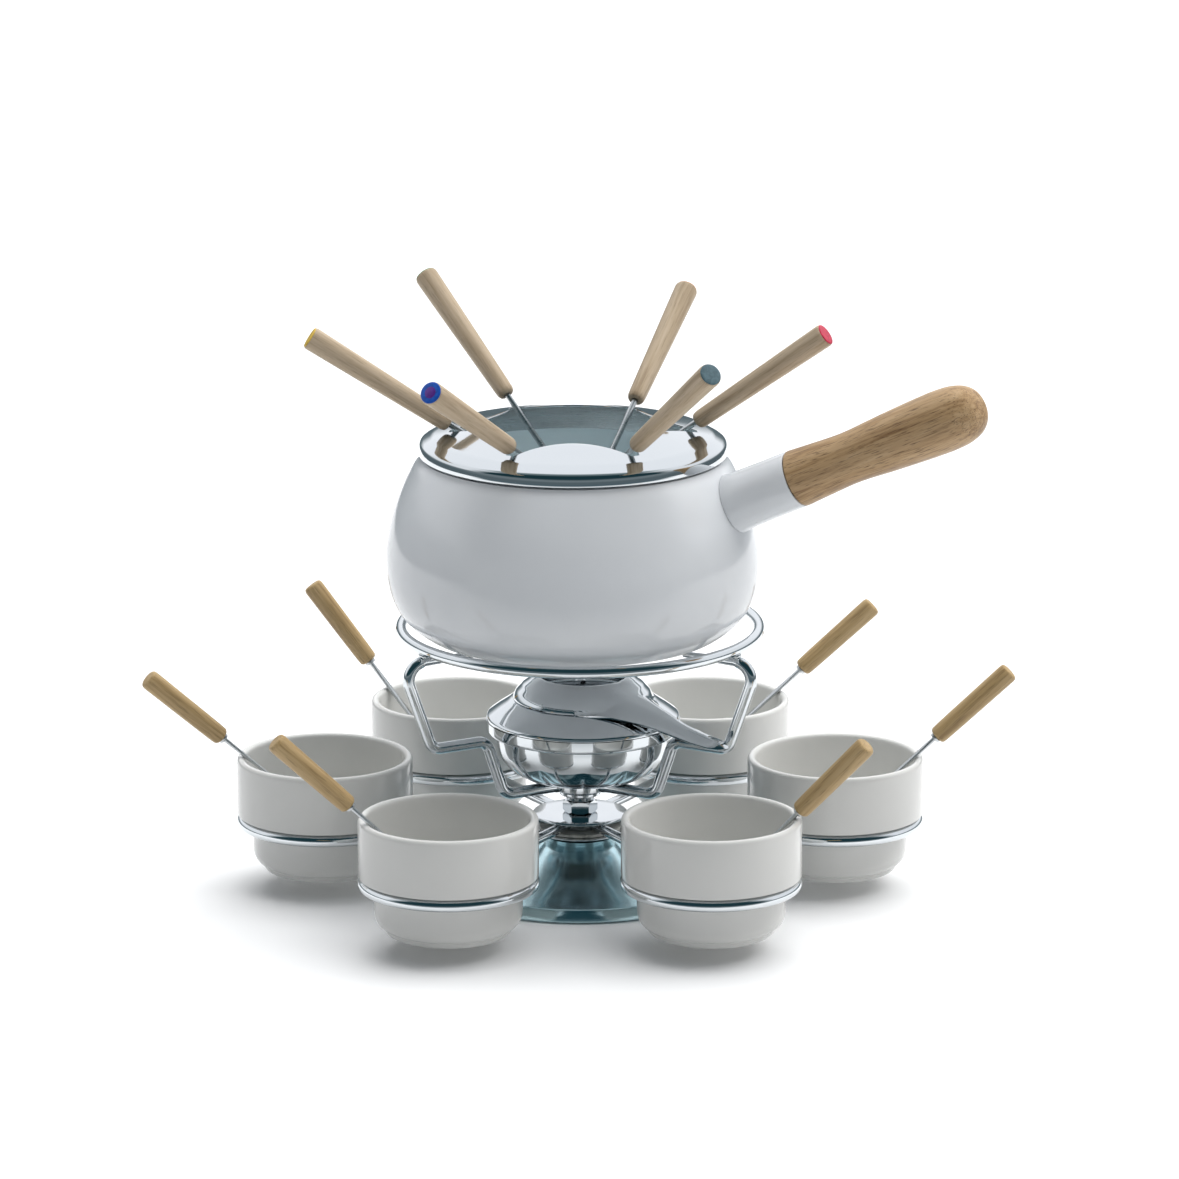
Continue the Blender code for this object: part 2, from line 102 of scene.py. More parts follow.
def eased(profile, radius=0.5, count=3, turn=22):
    """A profile with its sharper corners rounded. Its ends stay, unless it closes on itself."""
    pts = [np.array(p, float) for p in profile]
    loop = profile[0][0] > 0
    out = []
    for k, here in enumerate(pts):
        if not loop and k in (0, len(pts) - 1):
            out.append(tuple(here))
            continue
        before, after = pts[k - 1] - here, pts[(k + 1) % len(pts)] - here
        long_before, long_after = np.linalg.norm(before), np.linalg.norm(after)
        cosine = float(before @ after / (long_before * long_after))
        bend = 180 - math.degrees(math.acos(max(-1.0, min(1.0, cosine))))
        if bend < turn:
            out.append(tuple(here))
            continue
        cut = min(radius * math.tan(math.radians(bend / 2)), 0.45 * long_before, 0.45 * long_after)
        start, end = here + before / long_before * cut, here + after / long_after * cut
        for j in range(count + 1):
            t = j / count
            out.append(tuple((1 - t) ** 2 * start + 2 * t * (1 - t) * here + t * t * end))
    return out


def turned(name, profile, steps=96, shape=None, sharp=35):
    """A solid turned about Z. shape(radius, height, angle) can change a point's radius."""
    bm = bmesh.new()
    rings = []
    for radius, height in profile:
        if radius == 0:
            rings.append([bm.verts.new((0, 0, height * MM))])
            continue
        ring = []
        for k in range(steps):
            angle = math.tau * k / steps
            r = shape(radius, height, angle) if shape else radius
            ring.append(bm.verts.new((r * MM * math.cos(angle), r * MM * math.sin(angle), height * MM)))
        rings.append(ring)
    skin(bm, rings, closed=len(rings[0]) > 1)
    return to_mesh(bm, name, sharp)


def lofted(name, sections, sides=24, power=1.0):
    """A closed bar along Z. Each section is (height, half size in X, half size in Y, shift in Y).
    power below 1 squares its sides."""
    bm = bmesh.new()
    rings = []
    for height, half_x, half_y, *shift in sections:
        ring = []
        for k in range(sides):
            c, s = math.cos(math.tau * (k + 0.5) / sides), math.sin(math.tau * (k + 0.5) / sides)
            x = half_x * math.copysign(abs(c) ** power, c)
            y = half_y * math.copysign(abs(s) ** power, s) + (shift[0] if shift else 0)
            ring.append(bm.verts.new((x * MM, y * MM, height * MM)))
        rings.append(ring)
    skin(bm, rings, closed=False)
    bm.faces.new(rings[0])
    bm.faces.new(rings[-1])
    return to_mesh(bm, name)


def swept(name, path, radius, sides=20, cyclic=False):
    """Round wire along a path in millimetres. radius is one number, or one for each point."""
    pts = [Vector(p) * MM for p in path]
    radii = [radius] * len(pts) if isinstance(radius, (int, float)) else radius
    count = len(pts)
    tangents = []
    for k in range(count):
        a = pts[k - 1] if k or cyclic else pts[k]
        b = pts[(k + 1) % count] if k < count - 1 or cyclic else pts[k]
        tangents.append((b - a).normalized())
    side = tangents[0].orthogonal().normalized()
    if cyclic:
        side = Vector((0, 0, 1))
    bm = bmesh.new()
    rings = []
    for point, tangent, size in zip(pts, tangents, radii):
        side = (side - tangent * side.dot(tangent)).normalized()
        up = tangent.cross(side)
        rings.append([bm.verts.new(point + (side * math.cos(a) + up * math.sin(a)) * size * MM)
                      for a in (math.tau * j / sides for j in range(sides))])
    skin(bm, rings, closed=cyclic)
    if not cyclic:
        bm.faces.new(rings[0])
        bm.faces.new(rings[-1])
    return to_mesh(bm, name, 50)


def circle(radius, height, count=144):
    angles = [math.tau * k / count for k in range(count)]
    return [(radius * math.cos(a), radius * math.sin(a), height) for a in angles]


def rounded(points, radius, count=10):
    """A path with each inner corner replaced by an arc of the given bend radius."""
    pts = [Vector(p) for p in points]
    path = [pts[0]]
    for before, corner, after in zip(pts, pts[1:], pts[2:]):
        to_before, to_after = (before - corner).normalized(), (after - corner).normalized()
        half = to_before.angle(to_after) / 2
        centre = corner + (to_before + to_after).normalized() * radius / math.sin(half)
        start = (corner + to_before * radius / math.tan(half) - centre).normalized()
        end = (corner + to_after * radius / math.tan(half) - centre).normalized()
        path += [centre + start.slerp(end, k / count) * radius for k in range(count + 1)]
    return path + [pts[-1]]


def finished(mesh, relax=0, thickness=0.0, bevel=0.0, cutter=None, union=None, sharp=35):
    """A mesh after being relaxed, thickened inwards, cut or joined, and having its edges eased, in that order."""
    tools = []
    obj = bpy.data.objects.new(mesh.name, mesh)
    bpy.context.scene.collection.objects.link(obj)
    if relax:
        smooth = obj.modifiers.new("smooth", "SMOOTH")
        smooth.factor, smooth.iterations = 0.5, relax
    if thickness:
        solid = obj.modifiers.new("solid", "SOLIDIFY")
        solid.thickness, solid.offset, solid.use_even_offset = thickness * MM, -1, True
    for tool, operation in ((cutter, "DIFFERENCE"), (union, "UNION")):
        if tool:
            helper = bpy.data.objects.new("tool", tool)
            bpy.context.scene.collection.objects.link(helper)
            boolean = obj.modifiers.new(operation, "BOOLEAN")
            boolean.operation, boolean.object, boolean.solver = operation, helper, "EXACT"
            tools.append(helper)
    if bevel:
        edge = obj.modifiers.new("edge", "BEVEL")
        edge.width, edge.segments, edge.limit_method = bevel * MM, 2, "ANGLE"
        edge.angle_limit = math.radians(50)
    evaluated = obj.evaluated_get(bpy.context.evaluated_depsgraph_get())
    result = bpy.data.meshes.new_from_object(evaluated)
    for used in (obj, *tools):
        bpy.data.objects.remove(used, do_unlink=True)
    result.shade_smooth()
    result.set_sharp_from_angle(angle=math.radians(sharp))
    return result


# Materials ---------------------------------------------------------------------

class Nodes:
    """A node tree and the few kinds of node that the materials and the studio are made from."""

    def __init__(self, owner):
        owner.use_nodes = True
        self.tree = owner.node_tree

    def node(self, kind, **settings):
        made = self.tree.nodes.new(kind)
        for key, value in settings.items():
            setattr(made, key, value)
        return made

    def join(self, source, target):
        self.tree.links.new(source, target)

    def ramp(self, value, *stops):
        """Colours at positions along a value."""
        made = self.node("ShaderNodeValToRGB")
        elements = made.color_ramp.elements
        while len(elements) < len(stops):
            elements.new(0.5)
        for element, (position, colour) in zip(elements, stops):
            element.position = position
            element.color = (*colour, 1)
        self.join(value, made.inputs["Fac"])
        return made.outputs["Color"]

    def span(self, value, low, high, from_low=0.3, from_high=0.7):
        """A value moved from one range to another, and held at its ends."""
        made = self.node("ShaderNodeMapRange")
        for key, number in (("From Min", from_low), ("From Max", from_high), ("To Min", low), ("To Max", high)):
            made.inputs[key].default_value = number
        self.join(value, made.inputs["Value"])
        return made.outputs["Result"]

    def math(self, operation, first, second=0.0):
        made = self.node("ShaderNodeMath", operation=operation)
        for socket, value in zip(made.inputs, (first, second)):
            if isinstance(value, (int, float)):
                socket.default_value = value
            else:
                self.join(value, socket)
        return made.outputs[0]

    def mix(self, factor, first, second):
        made = self.node("ShaderNodeMix", data_type="RGBA")
        for socket, value in zip((made.inputs[0], made.inputs[6], made.inputs[7]), (factor, first, second)):
            if isinstance(value, (int, float)):
                socket.default_value = value
            elif isinstance(value, tuple):
                socket.default_value = (*value, 1)
            else:
                self.join(value, socket)
        return made.outputs[2]


class Finish(Nodes):
    """A Principled material, varied over a surface."""

    def __init__(self, name, colour, **values):
        self.material = bpy.data.materials.new(name)
        super().__init__(self.material)
        self.shader = self.tree.nodes["Principled BSDF"]
        self.shader.inputs["Base Color"].default_value = (*colour, 1)
        for key, value in values.items():
            self.shader.inputs[key.replace("_", " ").title().replace("Ior", "IOR")].default_value = value
        self.place = self.node("ShaderNodeTexCoord").outputs["Object"]

    def noise(self, scale, stretch=(1, 1, 1), detail=3.0, distortion=0.0):
        """Noise over the piece's own coordinates. scale is per metre."""
        mapping = self.node("ShaderNodeMapping")
        mapping.inputs["Scale"].default_value = stretch
        self.join(self.place, mapping.inputs["Vector"])
        made = self.node("ShaderNodeTexNoise")
        made.inputs["Scale"].default_value = scale
        made.inputs["Detail"].default_value = detail
        made.inputs["Distortion"].default_value = distortion
        self.join(mapping.outputs["Vector"], made.inputs["Vector"])
        return made.outputs["Fac"]

    def colour(self, source):
        self.join(source, self.shader.inputs["Base Color"])

    def roughness(self, source):
        self.join(source, self.shader.inputs["Roughness"])

    def bump(self, height, distance, strength):
        made = self.node("ShaderNodeBump")
        made.inputs["Distance"].default_value = distance * MM
        made.inputs["Strength"].default_value = strength
        self.join(height, made.inputs["Height"])
        self.join(made.outputs["Normal"], self.shader.inputs["Normal"])


def chrome(name, colour, low, high, ripple):
    """Chromium plate: faint polishing haze and a slight ripple in the metal beneath."""
    finish = Finish(name, colour, metallic=1.0, roughness=low)
    haze = finish.noise(90, detail=5)
    fine = finish.noise(1600, stretch=(1, 1, 0.3), detail=2)
    both = finish.mix(0.35, haze, fine)
    finish.roughness(finish.span(both, low, high))
    finish.bump(finish.noise(60, detail=2), ripple, 0.5)
    return finish.material


def spun(name, colour, low, high, depth):
    """Satin metal with fine rings from spinning and polishing."""
    finish = Finish(name, colour, metallic=1.0, roughness=low)
    split = finish.node("ShaderNodeSeparateXYZ")
    finish.join(finish.place, split.inputs[0])
    square = finish.math("ADD", finish.math("MULTIPLY", split.outputs[0], split.outputs[0]),
                         finish.math("MULTIPLY", split.outputs[1], split.outputs[1]))
    radius = finish.math("SQRT", square)
    ring = finish.node("ShaderNodeTexNoise", noise_dimensions="1D")
    ring.inputs["Scale"].default_value = 2600
    ring.inputs["Detail"].default_value = 3
    finish.join(finish.math("ADD", radius, split.outputs[2]), ring.inputs["W"])
    cloud = finish.noise(35, detail=3)
    both = finish.mix(0.5, ring.outputs["Fac"], cloud)
    finish.roughness(finish.span(both, low, high))
    finish.colour(finish.ramp(both, (0.35, tuple(0.9 * c for c in colour)), (0.65, colour)))
    finish.bump(ring.outputs["Fac"], depth, 0.4)
    return finish.material


def glaze(name, colour, tint, roughness, painted_inner_light=None):
    """Fired glaze or enamel: pooled and very slightly uneven. A vessel's walls that face its axis can be given
    another colour, which is painted light and painted reflection."""
    finish = Finish(name, colour, roughness=roughness, ior=1.5)
    cloud = finish.noise(28, detail=4, distortion=0.3)
    base = finish.ramp(cloud, (0.3, tint), (0.7, colour))
    wear = finish.span(finish.noise(160, detail=3), roughness * 0.8, roughness * 1.3)
    if painted_inner_light:
        facing = finish.node("ShaderNodeVectorMath", operation="DOT_PRODUCT")
        outwards = finish.node("ShaderNodeVectorMath", operation="MULTIPLY")
        outwards.inputs[1].default_value = (1, 1, 0)
        finish.join(finish.place, outwards.inputs[0])
        finish.join(outwards.outputs["Vector"], facing.inputs[0])
        finish.join(finish.node("ShaderNodeNewGeometry").outputs["Normal"], facing.inputs[1])
        inside = finish.math("LESS_THAN", facing.outputs["Value"], 0.0)
        # painted light and painted reflection: the walls facing the axis take a brighter colour in place of the light
        # and reflections inside the vessel
        base = finish.mix(inside, base, painted_inner_light)
        wear = finish.math("ADD", wear, finish.math("MULTIPLY", inside, INNER_WALL_HAZE))
    finish.colour(base)
    finish.roughness(wear)
    finish.bump(finish.noise(75, detail=2), 0.05, 0.5)
    return finish.material


def timber(name, dark, middle, light, grain, pore, roughness):
    """Oiled wood with its grain along Z. grain and pore are how strongly each shows."""
    finish = Finish(name, middle, roughness=roughness, specular_ior_level=0.35)
    info = finish.node("ShaderNodeObjectInfo")
    shift = finish.math("MULTIPLY", info.outputs["Random"], 3.0)
    place = finish.node("ShaderNodeVectorMath", operation="ADD")
    finish.join(finish.place, place.inputs[0])
    finish.join(shift, place.inputs[1])
    finish.place = place.outputs[0]
    figure = finish.noise(120, stretch=(1, 0.7, 0.06), detail=3, distortion=1.2)
    streak = finish.noise(620, stretch=(1, 0.8, 0.035), detail=5, distortion=0.6)
    flecks = finish.noise(1900, stretch=(1, 1, 0.05), detail=2)
    body = finish.mix(grain, figure, streak)
    base = finish.ramp(body, (0.34, dark), (0.48, middle), (0.66, light))
    pores = finish.span(flecks, 0.0, pore, 0.56, 0.70)
    finish.colour(finish.mix(pores, base, tuple(0.45 * c for c in dark)))
    finish.roughness(finish.span(streak, roughness * 0.85, roughness * 1.2))
    finish.bump(finish.math("SUBTRACT", streak, finish.math("MULTIPLY", pores, 1.5)), 0.06, 0.6)
    return finish.material


def lacquer(name, colour):
    """A brushed dab of enamel paint."""
    finish = Finish(name, colour, roughness=0.3)
    cloud = finish.noise(420, detail=3, distortion=0.8)
    finish.colour(finish.ramp(cloud, (0.35, tuple(0.72 * c for c in colour)), (0.65, colour)))
    finish.bump(finish.noise(600, detail=2), 0.08, 0.6)
    return finish.material


def matt(name, colour, roughness, scale, depth, metallic=0.0):
    """Foam rubber, cast iron or nylon: broken up in colour and in surface at one grain size."""
    finish = Finish(name, colour, roughness=roughness, metallic=metallic)
    grain = finish.noise(scale, detail=5)
    finish.colour(finish.ramp(grain, (0.3, tuple(0.6 * c for c in colour)), (0.7, tuple(1.2 * c for c in colour))))
    finish.bump(grain, depth, 0.8)
    return finish.material


def woven(name, colour):
    """Fine square wire gauze."""
    finish = Finish(name, colour, metallic=1.0, roughness=0.4)
    threads = []
    for direction in ("X", "Y"):
        wave = finish.node("ShaderNodeTexWave", bands_direction=direction)
        wave.inputs["Scale"].default_value = 260
        finish.join(finish.place, wave.inputs["Vector"])
        threads.append(wave.outputs["Fac"])
    mesh = finish.math("MAXIMUM", *threads)
    finish.colour(finish.ramp(mesh, (0.45, (0.02, 0.02, 0.02)), (0.6, colour)))
    finish.bump(mesh, 0.5, 0.9)
    return finish.material


INNER_WALL_HAZE = 0.2
WHITE_ENAMEL = (0.74, 0.765, 0.79), (0.715, 0.74, 0.77), 0.11

POLISHED = chrome("polished_chrome", (0.64, 0.67, 0.69), 0.03, 0.09, 0.05)
WIRE = chrome("chrome_wire", (0.66, 0.69, 0.71), 0.04, 0.12, 0.03)
PEDESTAL = spun("spun_pedestal", (0.58, 0.78, 0.83), 0.12, 0.22, 0.02)
SATIN = spun("satin_steel", (0.55, 0.57, 0.58), 0.2, 0.36, 0.03)
ENAMEL = glaze("white_enamel", *WHITE_ENAMEL)
# The pot's inner walls get painted light and painted reflection: a brighter, bluish white.
POT_ENAMEL = glaze("pot_enamel", *WHITE_ENAMEL, painted_inner_light=(0.86, 0.93, 0.95))
PORCELAIN = glaze("white_porcelain", (0.72, 0.72, 0.70), (0.70, 0.70, 0.68), 0.10)
FORK_BEECH = timber("pale_beech", (0.35, 0.26, 0.17), (0.49, 0.385, 0.265), (0.58, 0.47, 0.345), 0.6, 0.35, 0.45)
SPREADER_BEECH = timber("golden_beech", (0.30, 0.195, 0.085), (0.44, 0.305, 0.145), (0.53, 0.385, 0.205), 0.6, 0.45,
                        0.45)
OAK = timber("oak_handle", (0.26, 0.15, 0.07), (0.46, 0.30, 0.155), (0.58, 0.405, 0.235), 0.55, 0.85, 0.40)
FOAM = matt("foot_foam", (0.03, 0.03, 0.03), 0.9, 900, 0.3)
IRON = matt("ballast_iron", (0.06, 0.06, 0.06), 0.7, 300, 0.4, metallic=0.6)
NYLON = matt("bearing_nylon", (0.72, 0.71, 0.66), 0.45, 250, 0.05)
GAUZE = woven("fuel_gauze", (0.55, 0.56, 0.57))
PAINTS = {1: (0.62, 0.012, 0.06), 2: (0.82, 0.26, 0.02), 3: (0.03, 0.32, 0.10), 4: (0.85, 0.55, 0.03),
          5: (0.01, 0.10, 0.52), 6: (0.10, 0.17, 0.20)}
VIOLET = lacquer("paint_violet", (0.12, 0.03, 0.30))


# Placing -----------------------------------------------------------------------

def piece(name, mesh, material, body, node=None, matrix=None):
    """Links a piece that rides on a body, takes the given finish in its own slot and may stand for CAD nodes."""
    obj = bpy.data.objects.new(name, mesh)
    bpy.context.scene.collection.objects.link(obj)
    obj.matrix_world = matrix or Matrix()
    if not mesh.materials:
        mesh.materials.append(None)
    obj.material_slots[0].link = "OBJECT"
    obj.material_slots[0].material = material
    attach(obj, body)
    if node:
        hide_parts(node)


def keep(node, material):
    """A CAD node that stays, with a better material."""
    data = frame["nodes"][node].data
    data.materials.clear()
    data.materials.append(material)


def axis_of(node):
    """A matrix at a node's upright centreline, on the table."""
    low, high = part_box(node)
    return Matrix.Translation(((low.x + high.x) / 2, (low.y + high.y) / 2, 0))


def slide_frame(joint, node):
    """The frame at the near end of a handle, +Z out along its slide and Y level."""
    z = Vector(joints[joint]["axis"]).normalized()
    y = Vector((-z.y, z.x, 0)).normalized()
    x = y.cross(z)
    points = [v.co for v in frame["nodes"][node].data.vertices]
    origin = Vector()
    for direction in (x, y):
        along = [p.dot(direction) for p in points]
        origin += direction * (min(along) + max(along)) / 2
    origin += z * min(p.dot(z) for p in points)
    turn = Matrix((x, y, z)).transposed().to_4x4()
    return Matrix.Translation(origin) @ turn


# Pedestal and its spindle --------------------------------------------------------

def make_pedestal():
    edge = [(73.0, 0.8), (75.0, 0.8), (75.2, 1.3), (73.9, 6.0), (73.4, 6.8), (72.8, 7.2)]
    flare = flowing([(72.8, 7.2), (68, 8.2), (60, 10.2), (52, 12.2), (45, 14.0), (37, 16.2), (30, 18.6), (25, 20.8),
                     (21.4, 23.2), (19.2, 25.0)])
    inside = [(18.4, 26.0), (5.4, 26.0), (5.4, 24.6), (14.6, 24.6), (20, 20.8), (29.5, 16.9), (45, 12.5), (60, 9.0),
              (72.2, 5.8)]
    shell = eased(edge + flare[1:] + inside, 0.5)
    piece("base_cone", turned("base_cone", shell, 160), PEDESTAL, "stand", "base_shell")
    dish = eased([(5.2, 26.3), (13.5, 26.3), (22.0, 28.0), (23.5, 28.4), (23.5, 29.2), (5.2, 29.2)], 0.4)
    piece("lower_race", turned("lower_race", dish, 96), POLISHED, "stand", "bearing_dish")
    keep("foot_pad", FOAM)
    keep("base_ballast", IRON)
    keep("bearing_washer", NYLON)

    crest = [(0, 2.4), (8.2, 2.4), (8.2, 7.7), (4.4, 7.7)]
    pitch, low, high = 1.25, 9.0, 54.4
    turns = int((high - low) / pitch)
    for k in range(turns):
        crest += [(4.1, low + k * pitch), (4.75, low + (k + 0.5) * pitch)]
    crest += [(4.0, 54.8), (3.8, 55.4), (0, 55.4)]
    piece("spindle_bolt", turned("spindle_bolt", crest, 40, sharp=60), SATIN, "stand", "tie_bolt")

    ball = turned("nut_chamfer", [(0, 36.2), (6.4, 36.6), (9.1, 39.4), (9.1, 43.0), (6.4, 45.6), (0, 46.2)], 48)
    hexagon = turned("hex", [(6.0, 38.2), (8.9, 38.2), (8.9, 44.2), (6.0, 44.2)], 6)
    nut = finished(hexagon, cutter=outside_of(ball))
    piece("spindle_nut", nut, POLISHED, "stand", "clamp_nut")
    collar = eased([(5.2, 44.5), (7, 44.5), (7, 46.4), (10.5, 47.4), (10.5, 49.2), (5.2, 49.2)], 0.35)
    piece("stepped_collar", turned("stepped_collar", collar, 64), POLISHED, "stand",
          "spacer_collar")
    boss = eased([(5.2, 49.5), (12.2, 49.5), (13, 50.3), (13, 56), (5.2, 56)], 0.5)
    piece("leg_hub", turned("leg_hub", boss, 72), POLISHED, "stand", "leg_boss")


def outside_of(mesh):
    """A block around a mesh with the mesh's shape taken out of it: cutting with it leaves what lies inside."""
    block = turned("block", [(0, 30), (30, 30), (30, 52), (0, 52)], 12)
    return finished(block, cutter=mesh)


# Legs and pot ring ---------------------------------------------------------------

def weld(name, where, along, size, body):
    """A small smooth fillet of weld metal, stretched along one direction."""
    half = 1.3 * size
    lump = flowing([(0.001, -half), (0.62 * size, -0.8 * half), (0.95 * size, -0.3 * half), (size, 0.1 * half),
                    (0.8 * size, 0.6 * half), (0.001, half)], 3)
    lump[0], lump[-1] = (0, -half), (0, half)
    turn = Vector(along).to_track_quat("Z", "Y").to_matrix().to_4x4()
    piece(name, turned(name, lump, 20, sharp=80), WIRE, body,
          matrix=Matrix.Translation(Vector(where) * MM) @ turn)


LEG_BEND, TOP_BEND = 7, 9
RING_RADIUS = 91
WIRE_RADIUS = 3.0


def make_legs():
    corners = [(13.1, 53), (44.5, 53), (54.9, 82.6), (86.2, 82.6), (103.2, 129), (60, 129)]
    for name, degrees in (("leg_back", 90), ("leg_left", 210), ("leg_right", 330)):
        c, s = math.cos(math.radians(degrees)), math.sin(math.radians(degrees))
        points = [(r * c, r * s, z) for r, z in corners]
        path = rounded(points[:5], LEG_BEND)[:-1] + rounded(points[3:], TOP_BEND, 16)[1:]
        radii = [WIRE_RADIUS] * (len(path) - 3) + [2.9, 2.4, 1.5]
        path = path[:-1] + [Vector(path[-1]).lerp(path[-2], t) for t in (0.02, 0.005, 0)]
        piece(f"{name}_wire", swept(name, path, radii, 24), WIRE, "stand", name)
        weld(f"{name}_ring_weld", (RING_RADIUS * c, RING_RADIUS * s, 132.3), (s, -c, 0), 2.3, "stand")
        weld(f"{name}_boss_weld", (13.6 * c, 13.6 * s, 53), (c, s, 0), 3.3, "stand")
    piece("pot_rest_ring", swept("pot_rest_ring", circle(RING_RADIUS, 135.4, 180), WIRE_RADIUS, 24, True),
          WIRE, "stand", "pot_ring")


# Carousel ------------------------------------------------------------------------

STATION_RADIUS = 130.6
BOWL_RING_RADIUS = 42.4
ARM_HEIGHT = 33.9


def make_carousel():
    plate = eased([(5.6, 31.1), (14, 31.1), (14, 36.2), (23.9, 36.2), (24.5, 36.8), (23.9, 37.8), (5.6, 37.8)], 0.4)
    hub = turned("hub_plate", plate, 120)
    reach = STATION_RADIUS - BOWL_RING_RADIUS - WIRE_RADIUS
    for index in STATIONS:
        angle = math.radians(60 * (index - 1))
        line = [(r * math.cos(angle), r * math.sin(angle), ARM_HEIGHT) for r in (9, 40, reach - 0.4, reach)]
        hub = finished(hub, union=swept("arm", line, [2.7, 2.7, 2.7, 2.2], 24))
    piece("carousel_spider", hub, POLISHED, "carousel", "carousel_hub")
    ring = swept("bowl_ring", circle(BOWL_RING_RADIUS, 34), WIRE_RADIUS, 24, True)
    for index in STATIONS:
        node = f"bowl_ring_{index}"
        matrix = axis_of(node)
        piece(f"{node}_wire", ring, WIRE, "carousel", node, matrix)
        angle = math.radians(60 * (index - 1))
        outwards = Vector((math.cos(angle), math.sin(angle), 0))
        where = matrix.translation / MM - outwards * (BOWL_RING_RADIUS + 2.5)
        weld(f"arm_weld_{index}", (where.x, where.y, ARM_HEIGHT), outwards, 3.1, "carousel")


# Sauce bowls and spreaders ---------------------------------------------------------

def make_bowls():
    foot = flowing([(30.6, 8.7), (31.5, 9.8), (32.0, 11.0)], 3) + flowing(
        [(31.9, 11.5), (33.4, 12.2), (35.3, 14.0), (36.6, 16.8), (37.0, 20.5)], 4)
    rim = flowing([(45, 64.4), (44.85, 65.8), (44.3, 66.9), (43.3, 67.45), (42.2, 67.4), (41.2, 66.8), (40.7, 65.7),
                   (40.5, 64.0)], 3)
    inside = flowing([(40.4, 46), (40.1, 42.6), (38.4, 39.4), (35, 36.4), (32.9, 33.4), (32.2, 30), (32, 21),
                      (31, 17.2), (28.4, 14.6), (24, 13.6)], 4)
    profile = eased([(0, 9.3), (27.4, 9.3), (28.2, 8.5), (30.2, 8.5)] + foot
                    + [(37.0, 36.4), (38.2, 37.5), (45, 37.5)] + rim + inside + [(0, 13.5)], 0.9)
    bowl = turned("sauce_bowl", profile, 144, sharp=60)
    for index in STATIONS:
        node = f"sauce_bowl_{index}"
        turn = Matrix.Rotation(math.radians(47 * index), 4, "Z")
        piece(f"porcelain_bowl_{index}", bowl, PORCELAIN, f"bowl_{index}", node,
              axis_of(node) @ turn)


def make_spreaders():
    steel = [(-72, 0.16, 0.3), (-71.6, 0.3, 1.0), (-70.4, 0.5, 1.7), (-68, 0.7, 2.3), (-63, 0.85, 2.65),
             (-50, 0.92, 2.7), (-30, 0.95, 2.6), (-16, 1.0, 2.3), (-9, 1.1, 1.8), (-5, 1.15, 1.4), (-2, 1.2, 1.25),
             (12, 1.05, 1.05)]
    blade = lofted("spreader_blade", steel, 28, power=0.8)
    ferrule = turned("ferrule", eased([(1.3, -1.5), (2.6, -1.5), (2.75, -0.9), (2.75, -0.1), (1.3, -0.1)], 0.2), 48)
    wood = [(0, 15), (1.5, 15), (1.5, 0.3), (3.2, 0.15)] + flowing(
        [(3.6, 0.2), (4.3, 0.9), (4.7, 2.6), (4.9, 12), (5.05, 28), (5.2, 46), (5.15, 48.8), (4.7, 50.2), (3.4, 50.8),
         (1.4, 51)], 4) + [(0, 51)]
    handle = turned("spreader_handle", wood, 56, sharp=50)
    for index in STATIONS:
        matrix = slide_frame(f"spreader_{index}_pull", f"spreader_handle_{index}")
        body = f"spreader_{index}"
        piece(f"blade_{index}", blade, SATIN, body, f"spreader_blade_{index}", matrix)
        piece(f"ferrule_{index}", ferrule, SATIN, body, matrix=matrix)
        piece(f"short_handle_{index}", handle, SPREADER_BEECH, body, f"spreader_handle_{index}", matrix)


# Burner and regulator ----------------------------------------------------------------

GORES = 12
CREASE_DEPTH = 1.7
CREASE_TOP, CREASE_FOOT = 70, 14
AIR_SLOTS = 12


def gored(radius, height, angle):
    """The burner bowl's radius: gores that bulge between creases, which fade out towards the rim and the foot."""
    if radius < CREASE_FOOT or height > CREASE_TOP:
        return radius
    across = abs(math.sin(GORES / 2 * angle)) ** 0.4
    fade = min(1.0, (CREASE_TOP - height) / 6)
    near_foot = min(1.0, (radius - CREASE_FOOT) / 10)
    return radius - CREASE_DEPTH * fade * near_foot * (1 - across)


def make_burner():
    matrix = axis_of("fuel_cup")
    wall = flowing([(44.5, 80.9), (44.4, 77), (43.8, 72.5), (42.3, 68.2), (39.6, 64.2), (35.4, 60.6), (30, 58.0),
                    (23.5, 56.8), (15.6, 56.5)], 5)
    outer = [(0, 56.4), (12, 56.4)] + wall[::-1] + [(44.8, 81.4), (48.9, 81.5), (49.5, 82.2), (49.6, 83.2),
                                                     (49.6, 87.5), (48.4, 87.5), (48.4, 83.4), (43.6, 82.6)]
    inner = flowing([(43.3, 81), (43.1, 77), (42.4, 72.8), (40.9, 69), (38.2, 65.4), (34.2, 61.9), (29.2, 59.4),
                     (23, 58.1), (15, 57.6)], 4)
    piece("burner_pan", turned("burner_pan", outer + inner + [(0, 57.3)], 240, gored), POLISHED, "burner",
          "burner_bowl", matrix)
    cup = eased([(0, 58.4), (14, 58.4), (22, 60.3), (28.4, 63.8), (30, 66.6), (30, 86), (28.8, 86), (28.8, 67),
                 (27.6, 64.8), (21.6, 61.4), (14, 59.5), (0, 59.5)], 1.2)
    piece("fuel_well", turned("fuel_well", cup, 96), SATIN, "burner", "fuel_cup", matrix)
    keep("fuel_gauze", GAUZE)

    slope = flowing([(49.3, 89.0), (48.8, 89.9), (47.4, 91.0), (44, 93.4), (40, 96.0), (37.4, 97.6), (35.6, 98.3)], 4)
    shelf = [(26.1, 98.4), (25.6, 98.2), (25.5, 97.3), (35.0, 97.3), (46.8, 90.2), (48.0, 88.9)]
    lid = turned("lid", [(48.2, 87.8), (49.3, 87.8)] + slope + shelf, 240)
    slots = bmesh.new()
    for k in range(AIR_SLOTS):
        slot = lofted("slot", [(90, 2.9, 1.2), (104, 2.9, 1.2)], 20)
        slot.transform(Matrix.Rotation(math.tau * k / AIR_SLOTS, 4, "Z") @ Matrix.Translation((30 * MM, 0, 0)))
        slots.from_mesh(slot)
    lid = finished(lid, cutter=to_mesh(slots, "slots"))
    piece("burner_lid", lid, POLISHED, "burner", "burner_cover", matrix)


